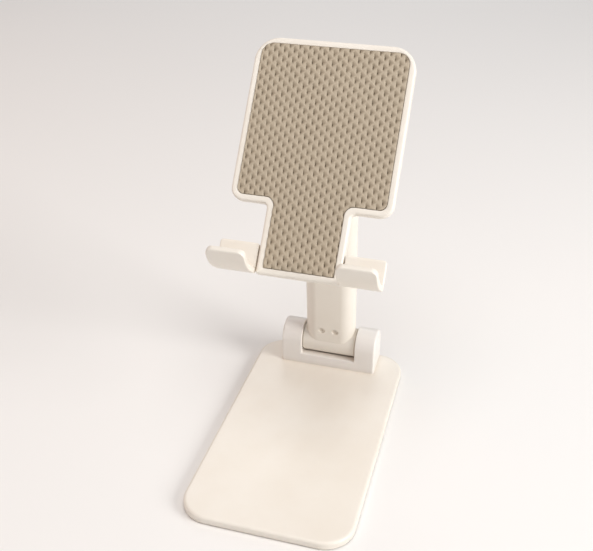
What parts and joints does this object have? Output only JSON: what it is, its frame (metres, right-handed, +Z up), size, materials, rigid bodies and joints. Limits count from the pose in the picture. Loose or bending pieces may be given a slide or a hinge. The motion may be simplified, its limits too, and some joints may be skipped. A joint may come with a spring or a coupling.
{
  "type": "phone stand",
  "caption": "Folding desk phone stand: flat weighted base, telescopic friction-hinged arm, tilting T-shaped padded rest with fold-away J hooks.",
  "frame": {"origin": "centre of the base's footprint on the desk", "axes": "+X to the right, +Y to the back where the arm stands, +Z up"},
  "size_m": [0.0596, 0.105, 0.1358],
  "materials": {
    "body_plastic": "satin moulded cream plastic",
    "pad_silicone": "matt taupe silicone with a raised scale pattern",
    "foot_silicone": "matt grey silicone",
    "bearing_polymer": "natural acetal",
    "zinc_steel": "zinc plated",
    "painted_steel": "cream lacquer"
  },
  "bodies": {
    "base": {"base_shell": "body_plastic", "base_ballast": "zinc_steel", "base_bottom": "body_plastic", "foot_pad": "foot_silicone", "bracket_screws": "zinc_steel", "hinge_bracket": "body_plastic", "lower_shaft": "zinc_steel", "lower_washers": "bearing_polymer", "lower_disc_springs": "zinc_steel", "lower_nut": "zinc_steel", "hinge_caps": "body_plastic"},
    "arm": {"arm_sleeve": "body_plastic", "sleeve_leaf": "zinc_steel", "sleeve_screws": "painted_steel", "sleeve_liner": "bearing_polymer"},
    "slider": {"inner_tube": "body_plastic", "tube_plug": "bearing_polymer", "brake_pads": "foot_silicone", "upper_knuckle": "body_plastic", "knuckle_rivets": "zinc_steel"},
    "plate": {"plate_shell": "body_plastic", "plate_stiffener": "zinc_steel", "plate_back": "body_plastic", "plate_pad": "pad_silicone", "plate_screws": "zinc_steel", "tilt_bracket": "body_plastic", "tilt_screws": "zinc_steel", "upper_shaft": "zinc_steel", "upper_washers": "bearing_polymer", "upper_disc_springs": "zinc_steel", "upper_nut": "zinc_steel", "hook_pin": "zinc_steel", "hook_washers": "bearing_polymer"},
    "hooks": {"hook_yoke": "body_plastic"}
  },
  "joints": [
    {"name": "arm_fold", "type": "hinge", "parent": "base", "child": "arm", "pos_m": [0, 0.0448, 0.0126], "axis": [1, 0, 0], "range_deg": [-15, 37]},
    {"name": "arm_slide", "type": "slide", "parent": "arm", "child": "slider", "axis": [0, -0.0872, 0.9962], "range_m": [-0.0179, 0.0066]},
    {"name": "plate_tilt", "type": "hinge", "parent": "slider", "child": "plate", "pos_m": [0, 0.03683, 0.10365], "axis": [-1, 0, 0], "range_deg": [-43, 92]},
    {"name": "hook_fold", "type": "hinge", "parent": "plate", "child": "hooks", "pos_m": [0, -0.00181, 0.0723], "axis": [-1, 0, 0], "range_deg": [0, 90]}
  ]
}
